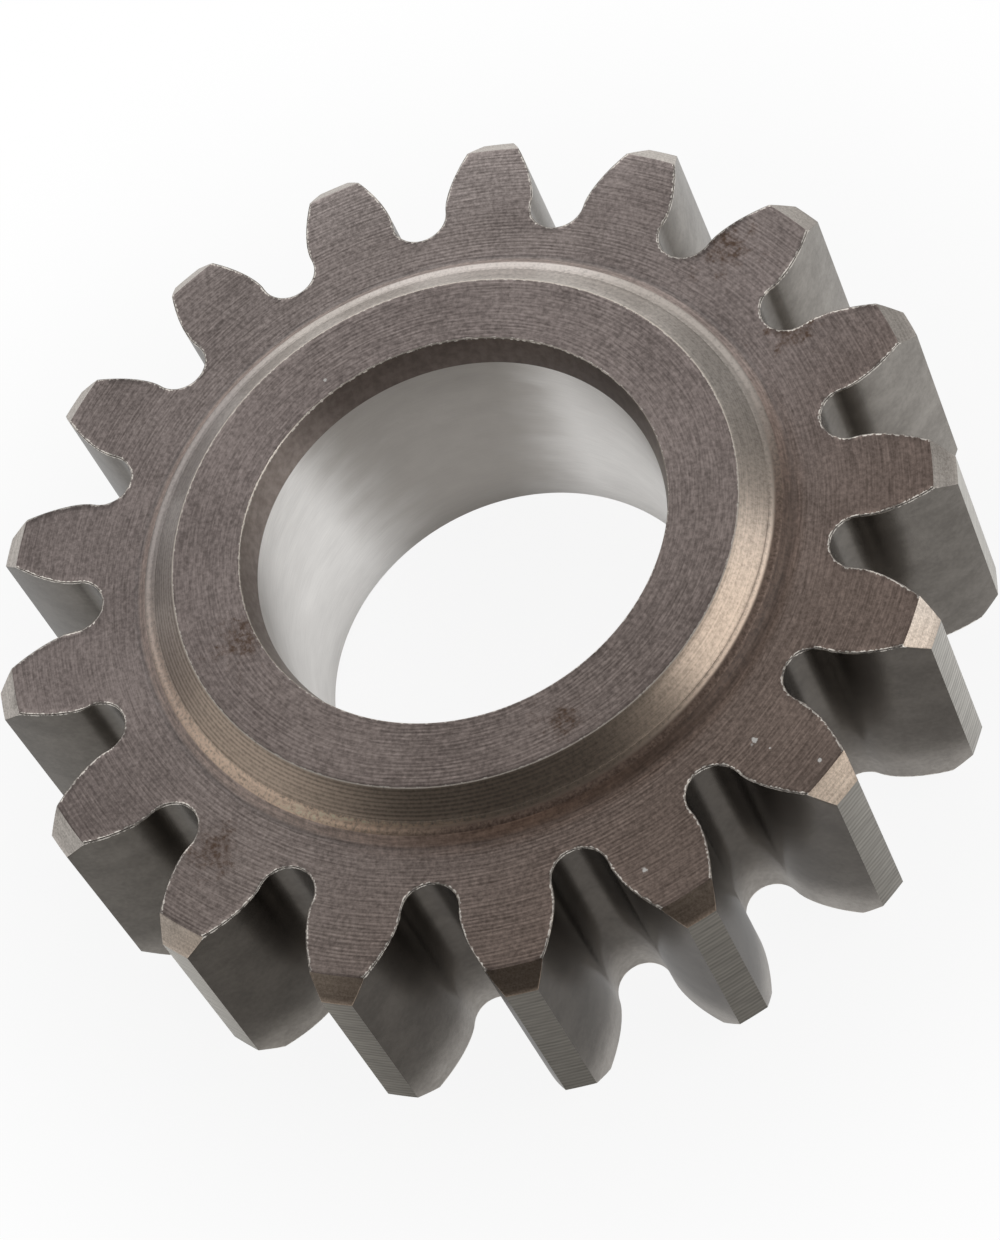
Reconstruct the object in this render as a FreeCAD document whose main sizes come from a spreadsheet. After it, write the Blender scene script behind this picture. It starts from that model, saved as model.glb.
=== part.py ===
import FreeCAD, Part
import math
import os

import Sketcher

# Spur gear wheel of a gearbox, turned and hobbed from one steel blank. Sizes are millimetres.
# The wheel lies flat with its axis along Z and the hub's front face up. The origin is on the axis,
# midway between the two faces of the toothed rim, and one tooth points along +X.

DRIVING_SIZES = [
    ("tooth_count", 17, "teeth"),
    ("tip_diameter", 48.25, "over the tooth tips; with the next two sizes it makes the module 2.5 mm"),
    ("addendum", 0.99, "of the teeth above an unshifted pitch circle, in modules"),
    ("profile_shift", 0.16, "outward shift of the hob, in modules"),
    ("whole_depth", 2.33, "of the teeth from tip to root, in modules"),
    ("pressure_angle", 20, "degrees, of the hob that cut the teeth"),
    ("rim_width", 12.4, "length of the teeth along the axis"),
    ("tip_chamfer_radial", 1.0, "turned chamfer at both ends of the tips, across"),
    ("tip_chamfer_axial", 0.9, "the same chamfer, along the axis"),
    ("bore_diameter", 20.55, "ground through bore"),
    ("lead_in_width", 0.425, "of the tapered lead-in at the front of the bore, seen from the front"),
    ("lead_in_depth", 1.6, "length of that lead-in along the axis"),
    ("hub_diameter", 28.25, "flat face of the front hub"),
    ("hub_height", 1.6, "that face above the rim's face"),
    ("hub_slope_angle", 37.5, "degrees, of the hub's sloping side to the rim's face"),
    ("hub_side_width", 1.875, "slope and shoulder together, seen from the front"),
    ("shoulder_angle", 15, "degrees, of the narrow shoulder below the slope to the rim's face"),
    ("shoulder_height", 0.42, "the shoulder's outer edge above the rim's face"),
    ("rear_hub_diameter", 31.8, "flat face of the rear hub"),
    ("rear_hub_height", 0.4, "rear hub proud of the rim's face"),
    ("rear_edge_break", 0.25, "chamfer at the rear edge of the bore"),
    ("hob_overrun", 0.6, "how far the cut for a tooth space passes outside the tips"),
]

NODE_NAME = "gear_wheel"
ARCS_PER_FLANK = 3


def fill_sheet(doc):
    """Put the driving sizes in a spreadsheet, one alias per row, and return it."""
    sheet = doc.addObject("Spreadsheet::Sheet", "sizes")
    for row, (alias, value, note) in enumerate(DRIVING_SIZES, start=1):
        sheet.set("A%d" % row, alias)
        sheet.set("B%d" % row, str(value))
        sheet.set("C%d" % row, note)
        sheet.setAlias("B%d" % row, alias)
    doc.recompute()
    return sheet


def origin_plane(body, role):
    """Return the body's own origin plane or axis that has this role."""
    return next(item for item in body.Origin.OriginFeatures if item.Role == role)


def attach_sketch(body, name, plane_role):
    """Start a sketch of the body on one of its origin planes."""
    sketch = body.newObject("Sketcher::SketchObject", name)
    sketch.AttachmentSupport = (origin_plane(body, plane_role), [""])
    sketch.MapMode = "FlatFace"
    return sketch


def bind(sketch, name, constraint, formula):
    """Add a dimension to the sketch under a name and tie it to the spreadsheet."""
    index = sketch.addConstraint(constraint)
    sketch.renameConstraint(index, name)
    sketch.setExpression("Constraints.%s" % name, formula)


def slope_foot(sizes):
    """Where the hub's slope meets the shoulder: (distance out from the hub's edge, height above the face).

    The slope falls from the hub's edge and the shoulder rises inwards from its own, each at its angle.
    """
    slope_fall = math.tan(math.radians(sizes.hub_slope_angle))
    shoulder_rise = math.tan(math.radians(sizes.shoulder_angle))
    drop = sizes.hub_height - sizes.shoulder_height - sizes.hub_side_width * shoulder_rise
    distance = drop / (slope_fall - shoulder_rise)
    return distance, sizes.hub_height - distance * slope_fall


def blank_profile(sizes):
    """List the corners of the blank's half section as (radius, height), in a ring from the bore."""
    bore = sizes.bore_diameter / 2
    tip = sizes.tip_diameter / 2
    hub = sizes.hub_diameter / 2
    face = sizes.rim_width / 2
    top = face + sizes.hub_height
    bottom = -face - sizes.rear_hub_height
    foot_distance, foot_height = slope_foot(sizes)
    return [
        (bore, bottom + sizes.rear_edge_break),
        (bore + sizes.rear_edge_break, bottom),
        (sizes.rear_hub_diameter / 2, bottom),
        (sizes.rear_hub_diameter / 2, -face),
        (tip - sizes.tip_chamfer_radial, -face),
        (tip, -face + sizes.tip_chamfer_axial),
        (tip, face - sizes.tip_chamfer_axial),
        (tip - sizes.tip_chamfer_radial, face),
        (hub + sizes.hub_side_width, face),
        (hub + sizes.hub_side_width, face + sizes.shoulder_height),
        (hub + foot_distance, face + foot_height),
        (hub, top),
        (bore + sizes.lead_in_width, top),
        (bore, top - sizes.lead_in_depth),
    ]


def model_blank(body, sizes):
    """Revolve the blank with its hubs, bore and tip chamfers from one half section."""
    sketch = attach_sketch(body, "BlankProfile", "XZ_Plane")
    corners = blank_profile(sizes)
    for index, (radius, height) in enumerate(corners):
        next_radius, next_height = corners[(index + 1) % len(corners)]
        start = FreeCAD.Vector(radius, height, 0)
        end = FreeCAD.Vector(next_radius, next_height, 0)
        sketch.addGeometry(Part.LineSegment(start, end), False)
    constrain_blank(sketch, corners)

    blank = body.newObject("PartDesign::Revolution", "Blank")
    blank.Profile = sketch
    blank.ReferenceAxis = (sketch, ["V_Axis"])
    blank.Angle = 360
    return blank


def constrain_blank(sketch, corners):
    """Join the blank's outline and tie each of its sizes to the spreadsheet.

    Line n runs from corner n to corner n + 1, and its start is tied wherever a size sets it.
    """
    (bore_break, rear_hub, rear_step, rear_face, rear_chamfer, tip_land, front_chamfer,
     front_face, front_step, shoulder, slope, front_hub, lead_in, bore) = range(len(corners))
    for index in range(len(corners)):
        following = (index + 1) % len(corners)
        sketch.addConstraint(Sketcher.Constraint("Coincident", index, 2, following, 1))
    for line in (rear_hub, rear_face, front_face, front_hub):
        sketch.addConstraint(Sketcher.Constraint("Horizontal", line))
    for line in (rear_step, tip_land, front_step, bore):
        sketch.addConstraint(Sketcher.Constraint("Vertical", line))

    radii = {
        "bore_radius": (bore, "sizes.bore_diameter / 2"),
        "bore_break_radius": (rear_hub, "sizes.bore_diameter / 2 + sizes.rear_edge_break"),
        "rear_hub_radius": (rear_step, "sizes.rear_hub_diameter / 2"),
        "rear_chamfer_radius": (rear_chamfer, "sizes.tip_diameter / 2 - sizes.tip_chamfer_radial"),
        "tip_radius": (tip_land, "sizes.tip_diameter / 2"),
        "front_chamfer_radius": (front_face, "sizes.tip_diameter / 2 - sizes.tip_chamfer_radial"),
        "shoulder_radius": (front_step, "sizes.hub_diameter / 2 + sizes.hub_side_width"),
        "hub_radius": (front_hub, "sizes.hub_diameter / 2"),
        "lead_in_radius": (lead_in, "sizes.bore_diameter / 2 + sizes.lead_in_width"),
    }
    heights_above = {
        "front_land_end": (front_chamfer, "sizes.rim_width / 2 - sizes.tip_chamfer_axial"),
        "front_face_height": (front_face, "sizes.rim_width / 2"),
        "shoulder_top": (shoulder, "sizes.rim_width / 2 + sizes.shoulder_height"),
        "hub_top": (front_hub, "sizes.rim_width / 2 + sizes.hub_height"),
        "lead_in_end": (bore, "sizes.rim_width / 2 + sizes.hub_height - sizes.lead_in_depth"),
    }
    depths_below = {
        "rear_land_end": (tip_land, "sizes.rim_width / 2 - sizes.tip_chamfer_axial"),
        "rear_face_depth": (rear_chamfer, "sizes.rim_width / 2"),
        "rear_hub_bottom": (rear_hub, "sizes.rim_width / 2 + sizes.rear_hub_height"),
        "bore_end": (bore_break, "sizes.rim_width / 2 + sizes.rear_hub_height - sizes.rear_edge_break"),
    }
    for name, (curve, formula) in radii.items():
        distance = Sketcher.Constraint("DistanceX", -1, 1, curve, 1, corners[curve][0])
        bind(sketch, name, distance, formula)
    for name, (curve, formula) in heights_above.items():
        distance = Sketcher.Constraint("DistanceY", -1, 1, curve, 1, corners[curve][1])
        bind(sketch, name, distance, formula)
    for name, (curve, formula) in depths_below.items():
        distance = Sketcher.Constraint("DistanceY", curve, 1, -1, 1, -corners[curve][1])
        bind(sketch, name, distance, formula)

    sizes = sketch.Document.getObject("sizes")
    for name, line in (("hub_slope_angle", slope), ("shoulder_angle", shoulder)):
        steepness = math.radians(getattr(sizes, name))
        angle = Sketcher.Constraint("Angle", line, math.pi - steepness)
        bind(sketch, name, angle, "180 deg - sizes.%s * 1 deg" % name)


def involute(angle):
    """The involute function of a pressure angle in radians."""
    return math.tan(angle) - angle


def gear_module(sizes):
    """The module, pitch circle diameter over tooth count, that brings the tips to their diameter."""
    return sizes.tip_diameter / (sizes.tooth_count + 2 * (sizes.addendum + sizes.profile_shift))


def root_radius(sizes):
    """Radius at the bottom of the tooth spaces."""
    return sizes.tip_diameter / 2 - sizes.whole_depth * gear_module(sizes)


def base_radius(sizes):
    """Radius of the circle that the flanks' involutes unwind from."""
    pitch_radius = gear_module(sizes) * sizes.tooth_count / 2
    return pitch_radius * math.cos(math.radians(sizes.pressure_angle))


def base_half_space(sizes):
    """Half the angle of a tooth space where it crosses the base circle.

    A tooth is half a pitch thick at the pitch circle, plus what the profile shift adds, and its
    flanks open by the involute of the pressure angle from there down to the base circle.
    """
    pressure = math.radians(sizes.pressure_angle)
    pitch_half_tooth = (math.pi / 2 + 2 * sizes.profile_shift * math.tan(pressure)) / sizes.tooth_count
    return math.pi / sizes.tooth_count - pitch_half_tooth - involute(pressure)


def flank_point(sizes, roll):
    """A point of the involute as (radius, angle from the space's middle), by its roll in radians."""
    radius = base_radius(sizes) * math.sqrt(1 + roll * roll)
    return radius, base_half_space(sizes) + roll - math.atan(roll)


def root_round(sizes, radius, angle, pressure):
    """The circle on the space's middle line that touches the flank at a point: (centre, radius)."""
    round_radius = radius * math.sin(angle) / math.cos(angle + pressure)
    centre = radius * math.cos(angle) + round_radius * math.sin(angle + pressure)
    return centre, round_radius


def root_contact(sizes):
    """Find where the root's full round leaves the flank: (radius there, roll there).

    The round has to reach down to the root circle. Below the base circle the flank is radial and
    the contact follows at once. Where that contact would lie above the base circle, the round
    touches the involute itself, and halving the range of rolls finds the place.
    """
    half_space = base_half_space(sizes)
    contact = root_radius(sizes) * math.cos(half_space) / (1 - math.sin(half_space))
    if contact <= base_radius(sizes):
        return contact, 0.0
    low, high = 0.0, outer_roll(sizes)
    for _ in range(60):
        roll = (low + high) / 2
        radius, angle = flank_point(sizes, roll)
        centre, round_radius = root_round(sizes, radius, angle, math.atan(roll))
        if centre - round_radius < root_radius(sizes):
            low = roll
        else:
            high = roll
    return flank_point(sizes, low)[0], low


def outer_roll(sizes):
    """The roll at which a flank has passed the tips by the hob's overrun."""
    outer_radius = sizes.tip_diameter / 2 + sizes.hob_overrun
    return math.sqrt((outer_radius / base_radius(sizes)) ** 2 - 1)


def space_outline(sizes):
    """Draw one tooth space: two involute flanks, a full round at the root and an arc outside the tips.

    Each flank is a few arcs, each through three points of the involute, which keeps within 0.003 mm.
    """
    middle = math.pi / sizes.tooth_count

    def place(radius, angle, side):
        direction = middle + side * angle
        return FreeCAD.Vector(radius * math.cos(direction), radius * math.sin(direction), 0)

    contact, first_roll = root_contact(sizes)
    last_roll = outer_roll(sizes)
    roll_step = (last_roll - first_roll) / (2 * ARCS_PER_FLANK)
    half_space = base_half_space(sizes)
    outline = []
    for side in (1, -1):
        points = [place(*flank_point(sizes, first_roll + roll_step * step), side)
                  for step in range(2 * ARCS_PER_FLANK + 1)]
        for first in range(0, 2 * ARCS_PER_FLANK, 2):
            outline.append(Part.Arc(*points[first:first + 3]))
        if first_roll == 0.0:
            outline.append(Part.LineSegment(place(contact, half_space, side), points[0]))

    contact_angle = flank_point(sizes, first_roll)[1]
    root_bottom = place(root_radius(sizes), 0, 1)
    outline.append(Part.Arc(place(contact, contact_angle, 1), root_bottom, place(contact, contact_angle, -1)))
    outer_radius, outer_angle = flank_point(sizes, last_roll)
    outer_middle = place(outer_radius, 0, 1)
    outline.append(Part.Arc(place(outer_radius, outer_angle, -1), outer_middle,
                            place(outer_radius, outer_angle, 1)))
    return outline


def cut_teeth(body, sizes):
    """Cut one tooth space right through the rim and repeat it round the axis."""
    sketch = attach_sketch(body, "SpaceOutline", "XY_Plane")
    for curve in space_outline(sizes):
        index = sketch.addGeometry(curve, False)
        sketch.addConstraint(Sketcher.Constraint("Block", index))
    sketch.Document.recompute()

    space = body.newObject("PartDesign::Pocket", "ToothSpace")
    space.Profile = sketch
    space.Type = "ThroughAll"
    space.SideType = "Symmetric"

    teeth = body.newObject("PartDesign::PolarPattern", "Teeth")
    teeth.Originals = [space]
    teeth.Axis = (origin_plane(body, "Z_Axis"), [""])
    teeth.Angle = 360
    teeth.setExpression("Occurrences", "sizes.tooth_count")
    body.Tip = teeth
    return space, teeth


def check_document(doc):
    """Stop if any object of the document failed to build."""
    for item in doc.Objects:
        if "Invalid" in item.State or "Error" in item.State:
            raise RuntimeError("%s did not build: %s" % (item.Label, item.State))


def check_shape(body):
    """Stop if the finished body isn't one valid solid."""
    shape = body.Shape
    if shape.isNull() or not shape.isValid() or len(shape.Solids) != 1:
        raise RuntimeError("%s is not one valid solid" % body.Label)


def main():
    doc = FreeCAD.newDocument("spur_gear")
    sizes = fill_sheet(doc)
    body = doc.addObject("PartDesign::Body", "GearWheel")
    body.Label = NODE_NAME
    blank = model_blank(body, sizes)
    doc.recompute()
    space, teeth = cut_teeth(body, sizes)
    doc.recompute()
    check_document(doc)
    check_shape(body)

    one_space = blank.Shape.Volume - space.Shape.Volume
    all_spaces = blank.Shape.Volume - teeth.Shape.Volume
    if one_space <= 0 or abs(all_spaces - one_space * sizes.tooth_count) > all_spaces / 1000:
        raise RuntimeError("the tooth spaces did not cut the rim evenly")

    os.makedirs("parts", exist_ok=True)
    body.Shape.exportStep(os.path.join("parts", "%s.step" % body.Label))
    print("%s: %.1f mm3, one tooth space %.2f mm3" % (body.Label, body.Shape.Volume, one_space))
    print("module %.4f mm, root diameter %.3f mm" % (gear_module(sizes), 2 * root_radius(sizes)))
    print("base radius %.3f mm, root round up to %.3f mm" % (base_radius(sizes), root_contact(sizes)[0]))


main()
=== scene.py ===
# %% [markdown]
# # Dressing a gearbox gear wheel
# The real object is a one-piece spur gear wheel in hardened steel: turned from a blank, hobbed to
# seventeen teeth and ground in the bore. The packed model already has its exact shape. This lesson
# builds one finer surface over it, with the burrs and edge breaks that catch the light, and gives
# each machined zone the finish of the tool that made it. Lengths are written in millimetres.
# %% Open the packed model
import math

import bpy
import numpy as np
from mathutils import Matrix, Vector


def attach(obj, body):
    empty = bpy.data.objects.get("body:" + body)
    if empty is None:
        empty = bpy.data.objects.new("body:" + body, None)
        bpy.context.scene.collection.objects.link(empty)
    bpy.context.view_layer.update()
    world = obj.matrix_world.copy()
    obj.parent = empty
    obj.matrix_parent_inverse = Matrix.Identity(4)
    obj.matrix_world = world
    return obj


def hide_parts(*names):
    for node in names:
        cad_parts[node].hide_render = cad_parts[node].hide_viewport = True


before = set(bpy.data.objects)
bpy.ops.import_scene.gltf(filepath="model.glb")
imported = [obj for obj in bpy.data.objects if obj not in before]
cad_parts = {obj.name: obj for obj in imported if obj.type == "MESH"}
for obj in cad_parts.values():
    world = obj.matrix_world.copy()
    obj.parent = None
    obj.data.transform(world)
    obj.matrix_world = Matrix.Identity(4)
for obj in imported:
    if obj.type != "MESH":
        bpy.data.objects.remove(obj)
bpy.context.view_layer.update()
MM = 0.001

# %% [markdown]
# ## The camera
# The wheel was photographed lying on its back, from a steep angle and with the camera rolled, so
# the bore's axis leans in the picture. A camera could be dragged about by eye. Here its place,
# the point that it looks at and its roll are numbers that came from fitting the tooth tips, which
# keeps every edge within a pixel of the photograph.
# %% Set up the camera
CAMERA_PLACE = Vector((117.354, 38.296, 181.855))
CAMERA_AIM = Vector((4.843, 1.443, 6.2))
CAMERA_ROLL = math.radians(-29.037)


def rolled_view(place, aim, roll):
    """The camera's matrix: it looks from place to aim, and its level axes are turned by roll."""
    back = (place - aim).normalized()
    level_right = Vector((0, 0, 1)).cross(back).normalized()
    level_up = back.cross(level_right)
    right = level_right * math.cos(roll) + level_up * math.sin(roll)
    up = level_up * math.cos(roll) - level_right * math.sin(roll)
    turned = Matrix((right, up, back)).transposed().to_4x4()
    return Matrix.Translation(place * MM) @ turned


camera_data = bpy.data.cameras.new("photo_camera")
camera_data.sensor_width = 36
camera_data.lens = 129.367
camera_data.clip_start = 0.01
camera_data.clip_end = 10
camera = bpy.data.objects.new("photo_camera", camera_data)
bpy.context.scene.collection.objects.link(camera)
camera.matrix_world = rolled_view(CAMERA_PLACE, CAMERA_AIM, CAMERA_ROLL)
bpy.context.scene.camera = camera
print("camera stands %.1f mm from its aim" % (CAMERA_PLACE - CAMERA_AIM).length)

# %% [markdown]
# ## The outline of a tooth
# A hob cuts each flank as an involute, the curve that a string's end draws as it unwinds from the
# base circle, and leaves a full round at the root. The outline could be a spline through a few
# points, but the eye reads a gear by its even teeth, so the curve itself is worked out once for
# half a pitch, mirrored, and repeated seventeen times.
# %% Work out half a pitch
TOOTH_COUNT = 17
HALF_PITCH = math.pi / TOOTH_COUNT
GEAR_MODULE = 2.5
PROFILE_SHIFT = 0.16
PRESSURE_ANGLE = math.radians(20)
ROOT_RADIUS = 18.3
TIP_RADIUS = 24.125
CHAMFER_RADIUS = 23.125
BASE_RADIUS = GEAR_MODULE * TOOTH_COUNT / 2 * math.cos(PRESSURE_ANGLE)
ROUND_POINTS = 21
FLANK_POINTS = 12
CHAMFER_POINTS = 3
TIP_POINTS = 3


def half_space_at_base():
    """Half a tooth space's angle on the base circle.

    It is half a pitch less the half tooth, which is a quarter turn over the tooth count plus what
    the profile shift adds, and less the involute of the pressure angle, its tangent less itself.
    """
    half_tooth = (math.pi / 2 + 2 * PROFILE_SHIFT * math.tan(PRESSURE_ANGLE)) / TOOTH_COUNT
    return HALF_PITCH - half_tooth - (math.tan(PRESSURE_ANGLE) - PRESSURE_ANGLE)


def roll_at(radius):
    """How far the string has unwound when its end has reached a radius, in radians."""
    return math.sqrt((radius / BASE_RADIUS) ** 2 - 1)


def half_pitch_outline():
    """Radii, angles and inward directions from a space's middle to the next tooth's middle.

    The root is a circle that touches the root circle and the radial line at the half space's angle.
    On the involute, the radius is base times the root of 1 + roll squared, and the angle is the half
    space plus roll less its arctangent. Its points go up to the chamfer in even steps of the radius
    squared: with even steps of roll they would crowd at the base circle and cross when inset. The tip
    is an arc of the tip circle. Inwards, into the steel, means away from the round's centre, then a
    quarter turn past half space plus roll. More than half of the points lie on the round, so that the
    web's columns fan out round it and none crosses the outline.
    """
    half_space = half_space_at_base()
    round_radius = ROOT_RADIUS * math.sin(half_space) / (1 - math.sin(half_space))
    turn = np.linspace(math.pi, math.pi / 2 + half_space, ROUND_POINTS)
    root_x = ROOT_RADIUS + round_radius + round_radius * np.cos(turn)
    root_y = round_radius * np.sin(turn)
    mouth = roll_at(CHAMFER_RADIUS)
    roll_on_chamfer = np.linspace(mouth, roll_at(TIP_RADIUS), CHAMFER_POINTS + 1)[1:]
    roll = np.concatenate([mouth * np.sqrt(np.linspace(0, 1, FLANK_POINTS)), roll_on_chamfer])
    flank_radius = BASE_RADIUS * np.sqrt(1 + roll ** 2)
    flank_angle = half_space + roll - np.arctan(roll)
    flank_inward = half_space + roll + math.pi / 2
    tip_angle = np.linspace(flank_angle[-1], HALF_PITCH, TIP_POINTS + 1)[1:]
    tip_inward = np.full(TIP_POINTS, flank_inward[-1])
    radius = np.concatenate([np.hypot(root_x, root_y), flank_radius, np.full(TIP_POINTS, TIP_RADIUS)])
    angle = np.concatenate([np.arctan2(root_y, root_x), flank_angle, tip_angle])
    return radius, angle, np.concatenate([turn, flank_inward, tip_inward])


half_radius, half_angle, half_inward = half_pitch_outline()
TIP_HALF_ANGLE = HALF_PITCH - half_angle[-1 - TIP_POINTS]
print("half a pitch has", len(half_radius), "points, tip half angle %.4f" % TIP_HALF_ANGLE)

# %% [markdown]
# ## The whole outline
# Mirroring half a pitch about the tooth's middle gives a tooth, and turning that by whole pitches
# gives the wheel. A loop could add tooth after tooth. One sum of a column of pitch angles and a
# row of tooth angles makes the whole ring at once, with a tooth on +X.
# %% Repeat it round the wheel
def whole_pitch(half, mirror_image):
    """Half a pitch, then its mirror image backwards, without the points that two halves share."""
    return np.concatenate([half[:-1], mirror_image[::-1][:-1]])


pitch_radius = whole_pitch(half_radius, half_radius)
pitch_angle = whole_pitch(half_angle, 2 * HALF_PITCH - half_angle) - HALF_PITCH
pitch_inward = whole_pitch(half_inward, 2 * HALF_PITCH - half_inward) - HALF_PITCH
pitch_start = 2 * HALF_PITCH * np.arange(TOOTH_COUNT)[:, None]
tooth_angle = (pitch_start + pitch_angle).ravel()
tooth_inward = (pitch_start + pitch_inward).ravel()
tooth_radius = np.tile(pitch_radius, TOOTH_COUNT)
COLUMNS = len(tooth_angle)
even_angle = 2 * math.pi * np.arange(COLUMNS) / COLUMNS - HALF_PITCH
on_tip_chamfer = tooth_radius > CHAMFER_RADIUS + 1e-6
on_tip = tooth_radius > TIP_RADIUS - 1e-6
print("the outline has", COLUMNS, "columns,", int(on_tip_chamfer.sum()), "of them on the tip chamfers")

# %% [markdown]
# ## The section from the rear hub to the web
# Everything inside the teeth is turned, so it is one half section carried round the axis: rear hub,
# bore, lead-in, hub face, its steep slope and the narrow shoulder at its foot. The slope passes into
# the shoulder in a curve, the print of the tool's round nose, one fine groove runs above it, and the
# shoulder's own step is brushed so round that it ends without a line. Real turned edges are never
# sharp. A Bevel modifier could break them, but here each edge gets its own points in the section, so
# that each break is as wide as a file, a brush or a deburring tool leaves it. Each zone is that of the
# strip up to a point.
# %% Draw the half section
FACE = 6.2
HUB_TOP = 7.8
REAR_HUB = -6.6
NEAR_EDGE = 0.3
FRONT_STEP = 16.64
REAR_STEP = 15.93
SECTION = [
    ("rear face", [(REAR_STEP, -FACE), (15.90, -6.24), (15.90, -6.57)]),
    ("rear face", [(15.87, REAR_HUB), (15.60, REAR_HUB)]),
    ("rear face", [(10.85, REAR_HUB), (10.545, REAR_HUB)]),
    ("edge", [(10.51, -6.585)]),
    ("rear face", [(10.29, -6.365)]),
    ("ground bore", [(10.275, -6.34), (10.275, -6.0), (10.275, -2.0), (10.275, 2.0), (10.275, 6.2)]),
    ("lead-in", [(10.61, 7.46), (10.688, 7.76)]),
    ("edge", [(10.725, HUB_TOP)]),
    ("hub face", [(11.025, HUB_TOP), (12.40, HUB_TOP), (13.80, HUB_TOP), (14.085, HUB_TOP)]),
    ("edge", [(14.145, 7.784)]),
    ("hub slope", [(14.41, 7.581), (15.20, 6.975), (15.33, 6.875), (15.365, 6.830), (15.40, 6.822)]),
    ("hub slope", [(15.55, 6.707), (15.61, 6.668)]),
    ("shoulder", [(15.68, 6.645), (15.76, 6.632), (15.84, 6.616), (15.91, 6.590), (15.97, 6.552)]),
    ("web", [(16.03, 6.503), (16.10, 6.437), (16.17, 6.372), (16.25, 6.310), (16.34, 6.258)]),
    ("web", [(16.44, 6.221), (16.52, 6.204), (16.58, FACE), (FRONT_STEP, FACE)]),
]
section_points = np.array([point for _, points in SECTION for point in points])
section_zones = [zone for zone, points in SECTION for _ in points][1:]
section_radius, section_height = section_points.T
print("the section has", len(section_points), "points in", sorted(set(section_zones)))

# %% [markdown]
# ## Burrs along the teeth
# Facing after hobbing pushes a ragged lip of metal over the edge of each tooth space. It is only
# a few hundredths of a millimetre high, yet it is the brightest line in the picture. It could be a
# separate wire, but it grows out of the edge, so it is a row of the same surface, lifted and shifted
# by smoothed random amounts from a seeded generator.
# %% Make the ragged lip
rng = np.random.default_rng(17)


def ragged(count, reach, low, high):
    """A closed run of smoothed random values between low and high.

    Each value is the mean of its neighbours within reach, stretched again to the full range.
    """
    values = rng.random(count)
    total = sum(np.roll(values, shift) for shift in range(-reach, reach + 1))
    spread = (total - total.min()) / (total.max() - total.min())
    return low + (high - low) * spread


lip_height = ragged(COLUMNS, 1, 0.0, 0.07) * ragged(COLUMNS, 9, 0.2, 1.0)
lip_width = ragged(COLUMNS, 1, 0.03, 0.08)
print("the lip stands up to %.3f mm" % lip_height.max())


def inset(distance):
    """The outline of the tooth faces moved inwards by a distance, as radii and angles.

    Each point moves by the distance in its inward direction. Tip points instead close up about the
    tooth's middle, and no radius passes the chamfer's mouth less the distance, so the columns never
    cross.
    """
    moved = tooth_radius * np.exp(1j * tooth_angle) + distance * np.exp(1j * tooth_inward)
    middle = 2 * HALF_PITCH * np.round(tooth_angle / (2 * HALF_PITCH))
    tip_share = 1 - distance / (TIP_RADIUS * TIP_HALF_ANGLE)
    beside = np.unwrap(np.angle(moved), period=2 * math.pi)
    angle = np.where(on_tip, middle + (tooth_angle - middle) * tip_share, beside)
    return np.minimum(np.abs(moved), CHAMFER_RADIUS - distance), angle


# %% [markdown]
# ## Rings across the rim
# The rim is built from rings too: from the foot of the hub the web's rings grow from round to
# toothed, the last of them runs along the front edge of the teeth, and the next ones go down the
# flanks. On a tip, the front edge lies on the chamfer's mouth and the chamfer falls 0.9 mm on its
# way out. Equal rings front and rear keep the whole wheel one grid that closes on itself.
# %% Lay the rings of the rim
GUARD_INSET = NEAR_EDGE + 0.06
BRINK_INSET = 0.012
BRINK_DROP = 0.008
WALL_DROP = 0.035
CHAMFER_SLOPE = 0.9
SLOPE_SHARES = (0.45, 0.80, 0.965)
BRINK_LIP_SHARE = 0.3
EDGE_BREAK = 0.02
REAR_LIP_SHARE = 0.25
chamfer_fall = CHAMFER_SLOPE * np.clip(tooth_radius - CHAMFER_RADIUS, 0, None)


def ring(radius, angle, height):
    """One closed ring of the grid: x is radius times cosine, y radius times sine, z the height."""
    radius, angle, height = np.broadcast_arrays(radius, angle, height)
    return np.stack([radius * np.cos(angle), radius * np.sin(angle), height], 1)


def web_ring(start, share, height):
    """A ring at a share of the way from a round start to the guard ring, which is inset from the teeth.

    Radius and angle are each the start's plus the share times the way to the guard ring.
    """
    radius, angle = inset(GUARD_INSET)
    return ring(start + share * (radius - start), even_angle + share * (angle - even_angle), height)


def tooth_end(direction, lip):
    """The rings at one end of the teeth, from the guard ring to the top of their walls.

    The first two lie flat, so that the lip's slope doesn't shade the web. The lip's crest and the
    brink are insets of the face's outline. From the brink, shares of the way to the wall give the
    slope's rings, on the chamfer or a narrow edge break, and the wall starts a little lower.
    """
    height = direction * FACE
    flat = web_ring(0.0, 1.0, height)
    near = ring(*inset(NEAR_EDGE), height)
    crest = ring(*inset(lip_width), height + direction * lip)
    brink_radius, brink_angle = inset(BRINK_INSET)
    brink_height = height + direction * (BRINK_LIP_SHARE * lip - BRINK_DROP)
    slope_end = height - direction * np.where(on_tip_chamfer, chamfer_fall, EDGE_BREAK)
    rows = [flat, near, crest, ring(brink_radius, brink_angle, brink_height)]
    for share in SLOPE_SHARES:
        rows.append(ring(brink_radius + share * (tooth_radius - brink_radius),
                         brink_angle + share * (tooth_angle - brink_angle),
                         brink_height + share * (slope_end - brink_height)))
    wall_top = ring(tooth_radius, tooth_angle, height - direction * (chamfer_fall + WALL_DROP))
    return rows + [wall_top]


front_lip = np.where(on_tip_chamfer, 0.0, lip_height)
front_end = tooth_end(1, front_lip)
rear_end = tooth_end(-1, REAR_LIP_SHARE * front_lip)
print("front end rings:", len(front_end), "each of", front_end[0].shape)

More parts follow.
